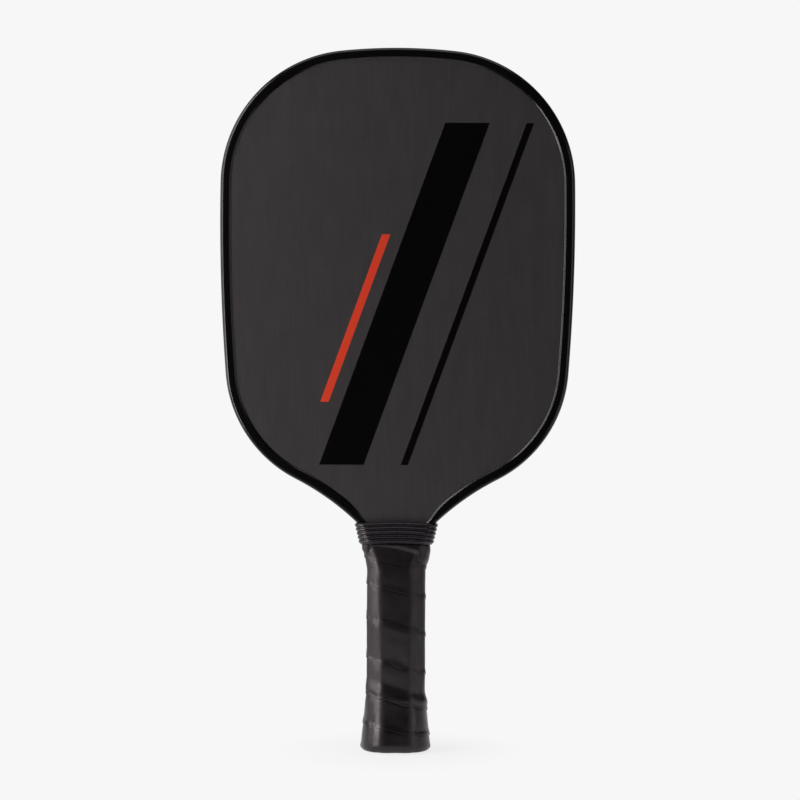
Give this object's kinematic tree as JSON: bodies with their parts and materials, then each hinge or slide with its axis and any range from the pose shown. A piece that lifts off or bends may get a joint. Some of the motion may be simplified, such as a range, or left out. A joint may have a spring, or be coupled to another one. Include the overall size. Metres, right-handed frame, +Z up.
{
  "type": "pickleball paddle",
  "caption": "Flat sports paddle with a honeycomb panel, bonded faces, a wrap-around edge guard and a tape-wound eight-sided handle with a ribbed collar.",
  "frame": {"origin": "centre of the butt cap's flat bottom face", "axes": "+Z up the handle to the crown of the head, X across the face, the front face looks along -Y"},
  "size_m": [0.2034, 0.0356, 0.403],
  "materials": {
    "core_polymer": "natural extruded polymer",
    "scrim_fleece": "fine fleece",
    "face_composite": "matte fibre composite with a fine upright grain",
    "guard_plastic": "gloss extruded plastic",
    "pallet_foam": "moulded rigid foam",
    "cap_plastic": "satin moulded plastic",
    "grip_cushion": "soft cushioned tape with a fine grain",
    "finish_film": "thin vinyl tape",
    "collar_rubber": "satin moulded rubber"
  },
  "bodies": {
    "root": {"honeycomb_core": "core_polymer", "front_scrim": "scrim_fleece", "rear_scrim": "scrim_fleece", "front_face_sheet": "face_composite", "rear_face_sheet": "face_composite", "edge_guard": "guard_plastic", "front_handle_pallet": "pallet_foam", "rear_handle_pallet": "pallet_foam", "butt_cap": "cap_plastic", "grip_tape": "grip_cushion", "finishing_tape": "finish_film", "grip_collar": "collar_rubber"}
  },
  "joints": []
}
